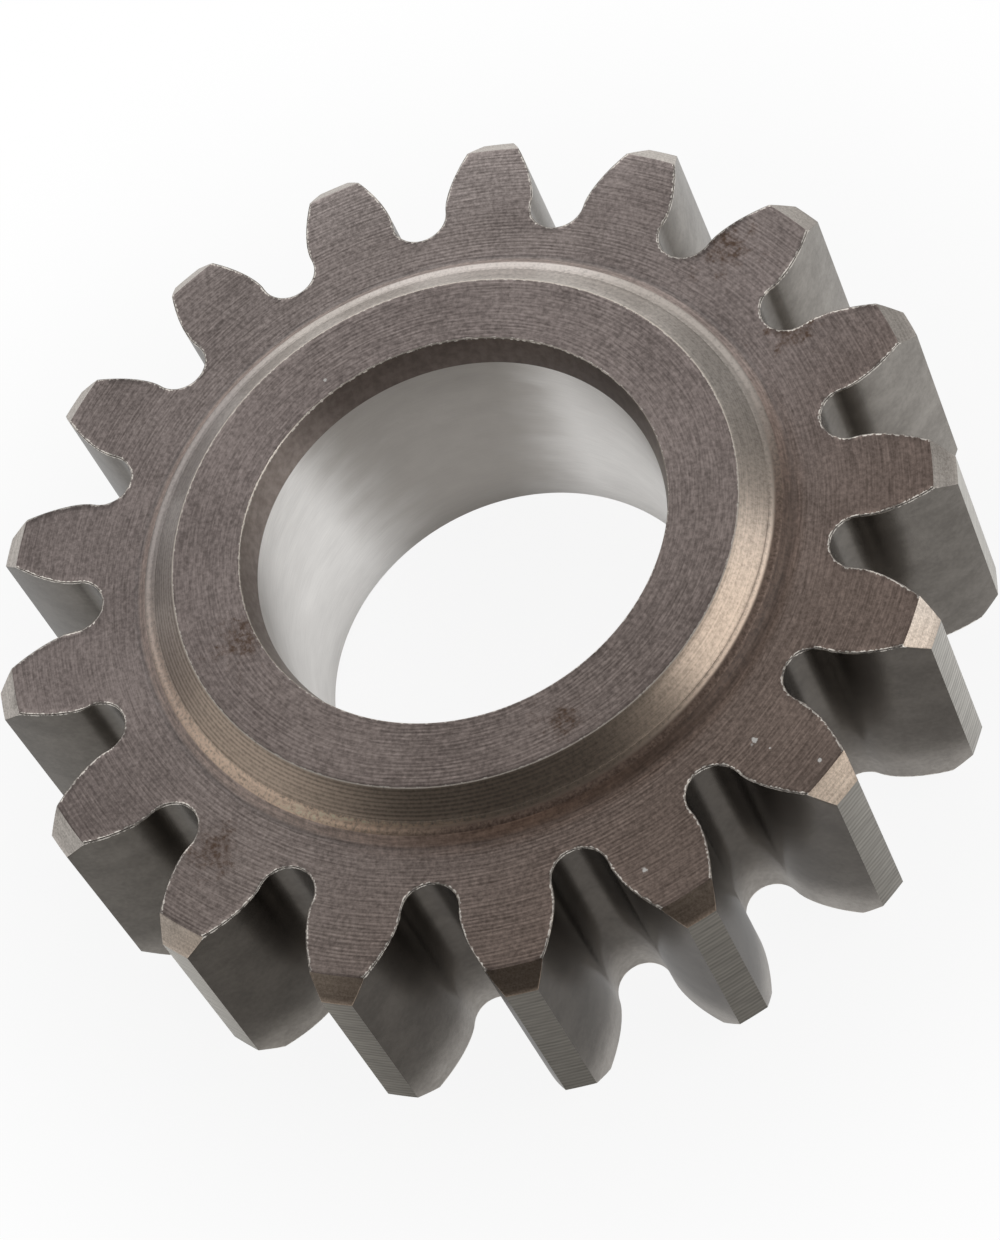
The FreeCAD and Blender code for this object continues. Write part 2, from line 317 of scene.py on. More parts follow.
# %% [markdown]
# ## One closed grid
# Stacking the rings gives a grid whose two directions both close: round the axis, and round the
# section. Such a surface has no seam or pole to mend. Each strip between two rings knows its zone,
# and on the teeth the zone also depends on the column, because a flank, a tip land and a chamfer
# lie side by side.
# %% Stack the rings and name the zones
WEB_SHARES = [0.45, 0.82]
FLANK_HEIGHTS = [5.87, 4.6, 1.5, -1.5, -4.6, -5.87]
wall_scale = (FACE - WALL_DROP - chamfer_fall) / (FACE - WALL_DROP)
web_strips = len(WEB_SHARES) + 3
slope_zones = ["tooth edge"] * (len(SLOPE_SHARES) + 1)
rings = [ring(radius, even_angle, height) for radius, height in zip(section_radius, section_height)]
zones = list(section_zones)
rings += [web_ring(FRONT_STEP, share, FACE) for share in WEB_SHARES] + front_end
zones += ["web"] * web_strips + ["edge"] + slope_zones
rings += [ring(tooth_radius, tooth_angle, height * wall_scale) for height in FLANK_HEIGHTS]
zones += ["tooth wall"] * (len(FLANK_HEIGHTS) + 1)
rings += rear_end[::-1] + [web_ring(REAR_STEP, share, -FACE) for share in WEB_SHARES[::-1]]
zones += slope_zones + ["edge"] + ["rear face"] * web_strips
grid = np.stack(rings)
ROWS = len(rings)
print("grid of", ROWS, "by", COLUMNS, "points, strips named:", len(zones))

# %% [markdown]
# ## How far each point is from an edge
# Burrs, rubbed edges and the shine along them all depend on the distance to the nearest edge. It
# could be baked with a pointiness node, but that is lost in an export, so it is measured here along
# each column of the grid and kept as an attribute of the mesh. The turned edges, at the hub and on
# both sides of the tip chamfers, shine less than the hobbed ones, so they count as a little further
# away.
# %% Measure the distance to the edges
TURNED_EXTRA = 0.05
CHAMFER_MOUTH_EXTRA = 0.14
CHAMFER_FOOT_EXTRA = 0.07
step_length = np.linalg.norm(np.diff(grid, axis=0), axis=2)
path = np.concatenate([np.zeros((1, COLUMNS)), np.cumsum(step_length, axis=0)])
edge_distance = np.full((ROWS, COLUMNS), NEAR_EDGE)
edge_rows = [row for row in range(ROWS) if "edge" in (zones[row - 1], zones[row])]
wall_rows = [row for row in range(ROWS) if {"tooth edge", "tooth wall"} == {zones[row - 1], zones[row]}]
for row in edge_rows + wall_rows:
    on_chamfer = CHAMFER_FOOT_EXTRA if row in wall_rows else CHAMFER_MOUTH_EXTRA
    extra = TURNED_EXTRA if row < len(section_zones) else np.where(on_tip_chamfer, on_chamfer, 0.0)
    edge_distance = np.minimum(edge_distance, np.abs(path - path[row]) + extra)
print("edge rows:", edge_rows + wall_rows, "points on an edge:", int((edge_distance < 0.01).sum()))

# %% [markdown]
# ## The mesh
# Each face joins four neighbours of the grid, and the last row and column join the first, in the
# order that turns every face outwards. Faces are smooth, and edges sharper than 25 degrees are
# marked, so that arcs and flanks shade evenly while chamfers keep their crisp borders.
# %% Build the wheel's surface
TURNED, BAND, LEAD_IN, BORE, CHAMFER, LAND, FLANK, LIP = range(8)
FINISH_OF_ZONE = {"web": TURNED, "hub face": TURNED, "rear face": TURNED, "hub slope": BAND,
                  "shoulder": BAND, "lead-in": LEAD_IN, "ground bore": BORE, "edge": LIP}
row_index, column_index = np.meshgrid(np.arange(ROWS), np.arange(COLUMNS), indexing="ij")
next_row = (row_index + 1) % ROWS
next_column = (column_index + 1) % COLUMNS
corner_grid = np.stack([row_index * COLUMNS + column_index, next_row * COLUMNS + column_index,
                        next_row * COLUMNS + next_column, row_index * COLUMNS + next_column], 2)
chamfer_column = on_tip_chamfer | np.roll(on_tip_chamfer, -1)
land_column = on_tip & np.roll(on_tip, -1)
finish_grid = np.zeros((ROWS, COLUMNS), int)
for row, zone in enumerate(zones):
    if zone == "tooth wall":
        finish_grid[row] = np.where(land_column, LAND, FLANK)
    elif zone == "tooth edge":
        finish_grid[row] = np.where(chamfer_column, CHAMFER, FLANK)
    elif zone == "edge" and row > len(section_zones):
        finish_grid[row] = np.where(chamfer_column, TURNED, LIP)
    else:
        finish_grid[row] = FINISH_OF_ZONE[zone]

points = grid.reshape(-1, 3)
wheel_mesh = bpy.data.meshes.new("gear_wheel_surface")
wheel_mesh.from_pydata(points * MM, [], corner_grid.reshape(-1, 4))
wheel_mesh.polygons.foreach_set("use_smooth", np.ones(ROWS * COLUMNS, bool))
wheel_mesh.polygons.foreach_set("material_index", finish_grid.ravel())
wheel_mesh.set_sharp_from_angle(angle=math.radians(25))
edge_attribute = wheel_mesh.attributes.new("edge_distance", "FLOAT", "POINT")
edge_attribute.data.foreach_set("value", edge_distance.ravel())
wheel_mesh.update()
wheel = bpy.data.objects.new("gear_wheel_surface", wheel_mesh)
bpy.context.scene.collection.objects.link(wheel)
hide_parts("gear_wheel")
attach(wheel, "root")
print("faces:", len(wheel_mesh.polygons), "box, mm:", points.min(0), points.max(0))

# %% [markdown]
# ## Short words for node work
# A finish is a graph of nodes. It could be drawn by hand in the editor. Written as code it stays
# readable with a few short calls: one that adds a node and feeds it, and one each for arithmetic,
# a product, a weighted sum, noise, a soft step and a colour blend.
# %% Define the short words
class Graph:
    """A node tree with short calls that add a node, feed its inputs and return its output."""

    def __init__(self, tree):
        self.nodes = tree.nodes
        self.links = tree.links

    def add(self, kind, inputs, output=0, **settings):
        """Add a node with its settings, feed the named or numbered inputs and return one output."""
        made = self.nodes.new(kind)
        for name, value in settings.items():
            setattr(made, name, value)
        for key, value in inputs.items():
            self.feed(made.inputs[key], value)
        return made.outputs[output]

    def feed(self, socket, value):
        """Link the value if it is another node's output, or else set it on the socket."""
        if isinstance(value, bpy.types.NodeSocket):
            self.links.new(value, socket)
        else:
            socket.default_value = value

    def math(self, operation, *values):
        """One step of arithmetic on numbers or outputs."""
        return self.add("ShaderNodeMath", dict(enumerate(values)), operation=operation)

    def product(self, first, *others):
        """Numbers or outputs multiplied together."""
        for other in others:
            first = self.math("MULTIPLY", first, other)
        return first

    def weighted(self, *pairs):
        """A sum in which each value is multiplied by its weight."""
        total, *others = [self.math("MULTIPLY", value, weight) for value, weight in pairs]
        for other in others:
            total = self.math("ADD", total, other)
        return total

    def step(self, value, low, high, at_low=0.0, at_high=1.0):
        """A soft step: at_low below low, at_high above high, and an S-curve between them."""
        return self.add("ShaderNodeMapRange", {"Value": value, "From Min": low, "From Max": high,
                        "To Min": at_low, "To Max": at_high}, interpolation_type="SMOOTHSTEP")

    def noise(self, vector, scale, detail=2.0, roughness=0.5):
        """Noise from 0 to 1 that turns over about once in 1 / scale of the vector's units."""
        return self.add("ShaderNodeTexNoise", {"Vector": vector, "Scale": scale, "Detail": detail,
                        "Roughness": roughness}, output="Fac")

    def blend(self, share, first, second, blend_type="MIX"):
        """A colour on the way from the first to the second, by share.

        A Mix node set to colour takes them at inputs 0, 6 and 7 and gives output 2.
        """
        return self.add("ShaderNodeMix", {0: share, 6: first, 7: second}, output=2,
                        data_type="RGBA", blend_type=blend_type)


STREAK_RADIUS = 18.0


class SteelFinish(Graph):
    """A steel finish: a metallic shader with the places on the wheel that every pattern starts from.

    place is in millimetres, across is the distance from the axis and heading the direction away from
    it, turn is the angle in whole turns, and near_edge the distance to the nearest edge.
    """

    def __init__(self, name):
        self.material = bpy.data.materials.new(name)
        self.material.use_nodes = True
        super().__init__(self.material.node_tree)
        self.shader = self.nodes["Principled BSDF"]
        self.shader.inputs["Metallic"].default_value = 1.0
        plain = self.add("ShaderNodeTexCoord", {}, output="Object")
        self.place = self.add("ShaderNodeVectorMath", {0: plain, "Scale": 1000.0}, operation="SCALE")
        parts = self.nodes.new("ShaderNodeSeparateXYZ")
        self.links.new(self.place, parts.inputs[0])
        x, y, self.z = parts.outputs
        flat = self.add("ShaderNodeCombineXYZ", {0: x, 1: y, 2: 0.0})
        self.across = self.add("ShaderNodeVectorMath", {0: flat}, output="Value", operation="LENGTH")
        self.turn = self.math("DIVIDE", self.math("ARCTAN2", y, x), 2 * math.pi)
        self.heading = self.add("ShaderNodeVectorMath", {0: flat}, operation="NORMALIZE")
        self.near_edge = self.add("ShaderNodeAttribute", {}, output="Fac",
                                  attribute_name="edge_distance")

    def streaks(self, length, width, along=None):
        """A place for noise whose grains are length mm long round the axis and width mm wide.

        Its x and y are the heading times a middling radius over the length. Its z is the distance
        across, or along where that is given, over the width.
        """
        long_way = self.add("ShaderNodeVectorMath", {0: self.heading, "Scale": STREAK_RADIUS / length},
                            operation="SCALE")
        crossing = self.math("DIVIDE", self.across if along is None else along, width)
        lift = self.add("ShaderNodeCombineXYZ", {0: 0.0, 1: 0.0, 2: crossing})
        return self.add("ShaderNodeVectorMath", {0: long_way, 1: lift}, operation="ADD")

    def bump(self, height, distance):
        """Tilt the surface by a height in units of distance, given in millimetres."""
        return self.add("ShaderNodeBump", {"Height": height, "Distance": distance * MM, "Strength": 1.0})

    def grooved(self, amount, upright=False):
        """Spread reflections across the grooves that run round the axis, and not along them.

        That is outwards on a face or a cone, and up and down on an upright wall.
        """
        across = self.add("ShaderNodeCombineXYZ", {2: 1.0}) if upright else self.heading
        across = self.add("ShaderNodeVectorTransform", {0: across}, vector_type="VECTOR",
                          convert_from="OBJECT", convert_to="WORLD")
        self.shader.inputs["Anisotropic"].default_value = amount
        self.feed(self.shader.inputs["Tangent"], across)

    def towards(self, azimuth):
        """How far a place lies from the axis towards an azimuth in degrees, in mm."""
        way = (math.cos(math.radians(azimuth)), math.sin(math.radians(azimuth)), 0.0)
        return self.add("ShaderNodeVectorMath", {0: self.place, 1: way}, output="Value",
                        operation="DOT_PRODUCT")

    def tint(self, colour, share, tone):
        """Multiply a colour by a tone, where share is 1."""
        return self.blend(share, colour, (*tone, 1), "MULTIPLY")

    def side_tint(self, colour, azimuth, low, high, tone):
        """Multiply a colour by a tone, in a soft step from low to high mm towards an azimuth."""
        return self.tint(colour, self.step(self.towards(azimuth), low, high), tone)

    def spot(self, x, y, height, size, softness=0.5):
        """1 near a place on the wheel and 0 beyond its size in mm, with a soft and ragged border."""
        gap = self.add("ShaderNodeVectorMath", {0: self.place, 1: (x, y, height)}, output="Value",
                       operation="DISTANCE")
        border = self.step(self.noise(self.place, 1.1, 5.0, 0.8), 0.3, 0.7, 0.4, 1.8)
        gap = self.math("MULTIPLY", gap, border)
        return self.step(gap, size * (1 - softness), size * (1 + softness), 1.0, 0.0)

    def finish(self, colour, roughness, normal):
        """Feed the shader and return the material."""
        self.feed(self.shader.inputs["Base Color"], colour)
        self.feed(self.shader.inputs["Roughness"], roughness)
        self.feed(self.shader.inputs["Normal"], normal)
        return self.material


print("short words:", [name for name in vars(Graph) if not name.startswith("_")])

# %% [markdown]
# ## Turned faces
# The web and the hub's face are covered by one fine spiral: the facing tool moved out 0.2 mm with
# every turn of the lathe. Geometry that fine would need millions of faces, so the spiral is a wave
# of the distance from the axis over the feed plus the angle in turns. Noise that runs along the
# turns breaks and bends the lines, and heat treatment has left a brown-grey mottled skin on them.
# That skin is browner towards one side. Over it, painted light and painted shade make some sides of
# the faces lighter or darker, as the room's reflections fall, in soft steps of the distance towards a
# side, and the spiral lines are painted stronger where the light runs across them.
# %% Finish the turned faces
FACE_FEED = 0.2
SKIN_DARK = (0.165, 0.138, 0.128, 1)
SKIN_LIGHT = (0.490, 0.420, 0.396, 1)
STAIN = (0.105, 0.062, 0.040, 1)
DUST = (0.86, 0.83, 0.79, 1)
BARE_STEEL = (0.82, 0.765, 0.70, 1)
STAIN_PLACES = [(-13.0, 15.1, FACE, 1.1), (-7.3, 17.5, FACE, 0.9), (3.5, -10.7, HUB_TOP, 1.0),
                (13.5, -13.6, FACE, 1.0), (12.0, 4.0, HUB_TOP, 0.8)]
# Painted light and shade: each row makes one side of the turned faces lighter or darker.
PAINTED_SIDE_LIGHT = [(18, -8.0, 20.0, (0.96, 0.935, 0.905)), (265, 10.0, 19.0, (0.89, 0.88, 0.88)),
              (112, 10.0, 19.0, (0.89, 0.88, 0.88)), (176, 18.0, 21.5, (1.28, 1.30, 1.31))]
DUST_PLACES = [(14.53, 12.58, FACE, 0.15), (15.13, 13.20, FACE, 0.07), (16.36, 15.38, FACE, 0.08),
               (19.85, 6.62, FACE, 0.08), (-10.23, -5.39, HUB_TOP, 0.09)]


def spiral_wave(finish, feed, wander):
    """The tool's spiral as a wave from -1 to 1, with lines that wander by a share of the feed."""
    drift = finish.product(finish.noise(finish.streaks(3.0, 0.5), 1.0, 2.0), wander)
    turns = finish.math("ADD", finish.math("DIVIDE", finish.across, feed), finish.turn)
    return finish.math("SINE", finish.product(finish.math("ADD", turns, drift), 2 * math.pi))


def bare_edges(finish, colour, roughness, width):
    """Blend bright bare steel over a finish along its edges, in a ragged line about width mm wide.

    The steel shows where the distance to the edge is less than the width times a fine noise.
    """
    grain = finish.noise(finish.place, 4.5, 3.0, 0.65)
    reach = finish.product(finish.step(grain, 0.40, 0.62), width)
    bare = finish.step(finish.math("SUBTRACT", reach, finish.near_edge), -0.015, 0.015)
    smoother = finish.math("SUBTRACT", roughness, finish.product(bare, 0.06))
    return finish.blend(bare, colour, BARE_STEEL), smoother


def brown_skin_and_painted_light(finish, colour):
    """The skin's tints: browner on the web towards 45 degrees, then painted light and shade, one tint for
    each row of the table of sides.

    A row gives an azimuth, how far towards it the tint starts and is full, in mm, and the tone.
    """
    beyond_hub = finish.step(finish.across, 14.2, 14.6)
    browner = finish.product(finish.step(finish.towards(45), 4.0, 18.0), beyond_hub)
    colour = finish.tint(colour, browner, (0.79, 0.735, 0.69))
    for azimuth, low, high, tone in PAINTED_SIDE_LIGHT:
        colour = finish.side_tint(colour, azimuth, low, high, tone)
    return finish.tint(colour, finish.step(finish.across, 14.4, 14.2), (0.91, 0.90, 0.90))


def foot_tints_and_painted_light(finish, colour, beyond_step):
    """The ring where the shoulder runs out into the web, tinted side by side: darker and browner
    towards 40 degrees, a painted highlight except towards 52 degrees, painted light towards 275
    degrees, darker towards 52 degrees, and a line of painted shadow at the run-out towards 180.
    """
    # Darker and browner at the foot towards 40 degrees.
    darker_browner_foot = finish.product(beyond_step, finish.step(finish.across, 16.0, 17.3, 1.0, 0.0),
                           finish.step(finish.towards(40), 4.0, 14.0))
    colour = finish.tint(colour, darker_browner_foot, (0.72, 0.61, 0.53))
    foot = finish.product(beyond_step, finish.step(finish.across, 16.26, 16.52, 1.0, 0.0))
    # Painted highlight on the foot's rounded edge, everywhere but towards 52 degrees.
    painted_highlight_foot = finish.product(foot, finish.step(finish.towards(52), 10.0, 14.5, 1.0, 0.0))
    colour = finish.tint(colour, painted_highlight_foot, (1.60, 1.53, 1.47))
    # Painted light on the foot towards 275 degrees.
    glow = finish.product(foot, finish.step(finish.towards(275), 2.0, 9.0))
    colour = finish.tint(colour, glow, (1.24, 1.22, 1.20))
    # Darker at the foot towards 52 degrees.
    darkened = finish.product(foot, finish.step(finish.towards(52), 13.0, 15.4))
    colour = finish.tint(colour, darkened, (0.72, 0.70, 0.68))
    # Painted shadow: a darker line at the run-out on the far side, towards 180 degrees.
    painted_shadow_line = finish.product(finish.step(finish.across, 16.22, 16.40),
                             finish.step(finish.across, 16.52, 16.66, 1.0, 0.0),
                             finish.step(finish.towards(180), 0.0, 9.0))
    return finish.tint(colour, painted_shadow_line, (0.83, 0.83, 0.83))


def stained(finish, colour):
    """Brown stains broken up by a crumbly noise, and pale dust over them, whose share is returned."""
    crumbs = finish.step(finish.noise(finish.place, 3.2, 4.0, 0.7), 0.36, 0.66, 0.15, 0.85)
    for x, y, height, size in STAIN_PLACES:
        colour = finish.blend(finish.product(finish.spot(x, y, height, size), crumbs), colour, STAIN)
    dusty = 0.0
    for x, y, height, size in DUST_PLACES:
        dusty = finish.math("MAXIMUM", dusty, finish.spot(x, y, height, size, 0.3))
    return finish.blend(dusty, colour, DUST), dusty


def turned_face():
    """The web and hub faces: spiral lines, mottled skin, brown stains and bare edges."""
    finish = SteelFinish("turned_face_steel")
    finish.grooved(0.45)
    wave = spiral_wave(finish, FACE_FEED, 0.9)
    patchy = finish.step(finish.noise(finish.streaks(6.0, 2.0), 1.0, 3.0), 0.36, 0.62, 0.35, 1.0)
    # Painted light: the spiral lines show stronger on the sides towards 172 and 352 degrees, where the
    # light falls across the grooves, and fainter at right angles to them.
    painted_groove_light = finish.math("ABSOLUTE", finish.math("DIVIDE", finish.towards(172), finish.across))
    lines = finish.product(patchy, finish.step(painted_groove_light, 0.15, 0.80, 0.30, 0.88), wave)
    speckle = finish.noise(finish.place, 4.2, 5.0, 0.72)
    broad = finish.math("SUBTRACT", finish.noise(finish.place, 0.16, 3.0, 0.55), 0.5)
    scratch = finish.noise(finish.streaks(1.6, 0.09), 1.0, 2.0, 0.6)
    tone = finish.weighted((speckle, 0.62), (scratch, 0.42), (broad, 0.30), (lines, 0.038))
    colour = finish.blend(finish.step(tone, 0.28, 0.80), SKIN_DARK, SKIN_LIGHT)
    colour = brown_skin_and_painted_light(finish, colour)
    beyond_step = finish.step(finish.across, 15.0, 15.9)
    colour = foot_tints_and_painted_light(finish, colour, beyond_step)
    colour, dusty = stained(finish, colour)
    matt = finish.product(beyond_step, finish.step(finish.across, 16.40, 16.75, 0.72, 0.0))
    dull = finish.math("MAXIMUM", dusty, matt)
    finish.feed(finish.shader.inputs["Metallic"], finish.math("SUBTRACT", 1.0, dull))
    height = finish.math("ADD", lines, finish.product(speckle, 1.4))
    roughness = finish.step(speckle, 0.3, 0.75, 0.46, 0.36)
    colour, roughness = bare_edges(finish, colour, roughness, 0.078)
    return finish.finish(colour, roughness, finish.bump(height, 0.0025))


turned_face_steel = turned_face()
print("turned faces: feed", FACE_FEED, "mm,", len(turned_face_steel.node_tree.nodes), "nodes")

# %% [markdown]
# ## The hub's slope and shoulder
# A finer cut left these bands smoother and lighter than the faces, with a bronze tint from the
# heat. Their close grooves run round the axis, so a reflection stays narrow along them and spreads
# across them. One roughness for all directions would be simpler, but it would smear the soft box,
# which ends sharply on the slope in the picture. The shoulder is the lighter of the two.
# %% Finish the slope and shoulder
BAND_DARK = (0.33, 0.302, 0.275, 1)
BAND_LIGHT = (0.64, 0.585, 0.535, 1)
BAND_FEED = 0.23
SHOULDER_STEEL = (0.68, 0.620, 0.570, 1)
# Painted highlights on the shoulder, towards 312 and 340 degrees.
SHOULDER_GLOWS = [(312, 9.0, 14.5, (1.47, 1.41, 1.36)), (340, 14.4, 15.5, (1.26, 1.22, 1.18))]
BROWN_DARK = (0.115, 0.076, 0.058, 1)
BROWN_LIGHT = (0.255, 0.180, 0.140, 1)


def hub_band():
    """The hub's slope and shoulder: close turned lines with a light bronze skin."""
    finish = SteelFinish("hub_band_steel")
    finish.grooved(0.75)
    along = finish.math("SUBTRACT", finish.across, finish.product(finish.z, 0.6))
    lines = finish.noise(finish.streaks(9.0, 0.07, along), 1.0, 3.0, 0.6)
    wave = finish.math("SINE", finish.product(along, 2 * math.pi / BAND_FEED))
    wave = finish.product(wave, finish.step(finish.towards(316), 4.0, 13.0, 0.15, 1.0))
    speckle = finish.noise(finish.place, 5.0, 4.0, 0.75)
    tone = finish.weighted((lines, 0.35), (speckle, 0.65), (wave, 0.10))
    colour = finish.blend(finish.step(tone, 0.28, 0.66), BAND_DARK, BAND_LIGHT)
    border = finish.math("ADD", finish.across, finish.product(speckle, 0.24))
    shoulder = finish.product(finish.step(border, 15.48, 15.62), finish.step(speckle, 0.3, 0.6, 0.3, 1.0))
    colour = finish.blend(shoulder, colour, SHOULDER_STEEL)
    colour = finish.side_tint(colour, 0, -6.0, 9.0, (0.99, 0.865, 0.755))
    # Painted reflection: the slope lighter towards 169 degrees.
    colour = finish.side_tint(colour, 169, 13.9, 15.4, (1.18, 1.18, 1.20))
    for azimuth, low, high, glow in SHOULDER_GLOWS:
        share = finish.product(finish.step(finish.towards(azimuth), low, high), shoulder)
        colour = finish.tint(colour, share, glow)
    # Painted shade from the room's reflections: darker towards 112 and 255 degrees.
    colour = finish.side_tint(colour, 112, 12.0, 15.0, (0.80, 0.79, 0.78))
    colour = finish.side_tint(colour, 255, 10.0, 14.0, (0.72, 0.71, 0.73))
    # Darker, browner and less metallic at the shoulder's outer edge towards 38 degrees, and a little at
    # its rim all round.
    darkened = finish.product(finish.step(border, 15.60, 15.82), finish.step(finish.towards(38), 4.0, 12.5))
    darkened = finish.math("MAXIMUM", darkened, finish.step(border, 16.00, 16.12, 0.0, 0.25))
    brown = finish.blend(finish.step(speckle, 0.35, 0.65), BROWN_DARK, BROWN_LIGHT)
    colour = finish.blend(darkened, colour, brown)
    metal = finish.math("SUBTRACT", 1.0, finish.product(darkened, 0.6))
    finish.feed(finish.shader.inputs["Metallic"], metal)
    colour, roughness = bare_edges(finish, colour, 0.36, 0.05)
    height = finish.math("ADD", lines, finish.product(speckle, 0.8))
    return finish.finish(colour, roughness, finish.bump(height, 0.0025))


hub_band_steel = hub_band()
print("hub band:", len(hub_band_steel.node_tree.nodes), "nodes")

# %% [markdown]
# ## Lead-in and bore
# The lead-in still has its dark skin from the furnace. The bore was ground afterwards, so it is
# bare: pale satin steel with short fine scratches that run round it. Plain noise is enough for the
# skin's faint mottling, and noise stretched along the turns gives the scratches.
# %% Finish the lead-in and the bore
LEAD_IN_DARK = (0.265, 0.222, 0.200, 1)
LEAD_IN_LIGHT = (0.385, 0.330, 0.300, 1)
BORE_DARK = (0.81, 0.792, 0.770, 1)
BORE_LIGHT = (0.95, 0.932, 0.908, 1)


def lead_in():
    """The lead-in: a dark brown-grey skin with a faint grain, darker towards 165 degrees."""
    finish = SteelFinish("lead_in_steel")
    finish.grooved(0.6, upright=True)
    grain = finish.noise(finish.place, 2.5, 4.0, 0.6)
    colour = finish.blend(finish.step(grain, 0.25, 0.75), LEAD_IN_DARK, LEAD_IN_LIGHT)
    colour = finish.side_tint(colour, 165, 3.5, 8.5, (0.35, 0.33, 0.32))
    colour, roughness = bare_edges(finish, colour, 0.42, 0.10)
    return finish.finish(colour, roughness, finish.bump(grain, 0.0012))


def ground_bore():
    """The ground bore: pale satin steel with dense short scratches round the wall, and a painted dark
    reflection in the middle of its far side.
    """
    finish = SteelFinish("ground_bore_steel")
    finish.grooved(0.95, upright=True)
    scratches = finish.noise(finish.streaks(2.2, 0.045, finish.z), 1.0, 3.0, 0.65)
    clouds = finish.noise(finish.streaks(5.0, 1.2, finish.z), 1.0, 2.0)
    tone = finish.weighted((scratches, 0.65), (clouds, 0.35))
    colour = finish.blend(finish.step(tone, 0.3, 0.7), BORE_DARK, BORE_LIGHT)
    # Painted reflection: the far side's middle is darker, as if it mirrored the shaded floor.
    painted_dark_reflection = finish.math("ADD", finish.towards(188), finish.product(finish.z, 0.08))
    painted_dark_reflection = finish.step(finish.math("ADD", painted_dark_reflection, finish.product(clouds, 1.2)), 8.2, 10.6)
    colour = finish.tint(colour, painted_dark_reflection, (0.44, 0.420, 0.40))
    roughness = finish.step(scratches, 0.3, 0.7, 0.34, 0.42)
    return finish.finish(colour, roughness, finish.bump(scratches, 0.0010))


lead_in_steel = lead_in()
ground_bore_steel = ground_bore()
print("lead-in:", len(lead_in_steel.node_tree.nodes), "nodes")
print("bore:", len(ground_bore_steel.node_tree.nodes), "nodes")

# %% [markdown]
# ## Teeth
# Three tools meet on a tooth. The tip lands show the blank's outer turning, the chamfers the same
# lathe at an angle, and the flanks are hobbed: smooth, a little green-grey, with faint marks across
# the tooth's length. Each has its own grain direction, which is what tells them apart.
# %% Finish the teeth
OUTSIDE_FEED = 0.313
CHAMFER_DARK = (0.40, 0.365, 0.33, 1)
CHAMFER_LIGHT = (0.76, 0.705, 0.650, 1)
LAND_DARK = (0.36, 0.348, 0.325, 1)
LAND_LIGHT = (0.62, 0.600, 0.56, 1)
FLANK_DARK = (0.185, 0.168, 0.150, 1)
FLANK_LIGHT = (0.285, 0.262, 0.236, 1)
LIP_DARK = (0.20, 0.176, 0.158, 1)
LIP_LIGHT = (0.74, 0.665, 0.58, 1)


def tip_chamfer():
    """The tip chamfers: turned like the faces, with closer lines and a bronze skin, and painted shade
    towards 2 and 105 degrees.
    """
    finish = SteelFinish("tip_chamfer_steel")
    finish.grooved(0.5)
    lines = finish.noise(finish.streaks(5.0, 0.08), 1.0, 3.0, 0.6)
    speckle = finish.noise(finish.place, 9.0, 3.0, 0.75)
    tone = finish.weighted((lines, 0.35), (speckle, 0.65))
    colour = finish.blend(finish.step(tone, 0.3, 0.68), CHAMFER_DARK, CHAMFER_LIGHT)
    colour = finish.side_tint(colour, 10, 8.0, 18.0, (0.95, 0.84, 0.74))
    # Painted shade from the room's reflections: darker towards 2 and 105 degrees.
    colour = finish.side_tint(colour, 2, 19.5, 23.0, (0.56, 0.53, 0.51))
    colour = finish.side_tint(colour, 105, 19.0, 23.0, (0.70, 0.69, 0.68))
    colour, roughness = bare_edges(finish, colour, 0.40, 0.05)
    return finish.finish(colour, roughness, finish.bump(tone, 0.0022))


def tip_land():
    """The tip lands: fine lines round the blank's outside, grey, lightly skinned, with painted shade
    on the near side and painted highlights towards 85 and 318 degrees.
    """
    finish = SteelFinish("tip_land_steel")
    finish.grooved(0.85, upright=True)
    drift = finish.product(finish.noise(finish.place, 0.8, 2.0), 0.35)
    turns = finish.math("ADD", finish.math("DIVIDE", finish.z, OUTSIDE_FEED), drift)
    wave = finish.math("SINE", finish.product(turns, 2 * math.pi))
    speckle = finish.noise(finish.streaks(1.5, 0.25, finish.z), 1.0, 4.0, 0.7)
    lines = finish.weighted((wave, 0.6), (speckle, 0.5))
    tone = finish.weighted((wave, 0.07), (speckle, 0.5))
    colour = finish.blend(finish.step(tone, 0.05, 0.45), LAND_DARK, LAND_LIGHT)
    # Painted shade on the near lands, and painted highlights towards 85 and 318 degrees, for the floor
    # they mirror.
    colour = finish.side_tint(colour, 2, 14.0, 22.0, (0.60, 0.58, 0.55))
    for azimuth in (85, 318):
        colour = finish.side_tint(colour, azimuth, 22.0, 24.0, (1.55, 1.56, 1.57))
    colour, roughness = bare_edges(finish, colour, 0.50, 0.03)
    return finish.finish(colour, roughness, finish.bump(lines, 0.0045))


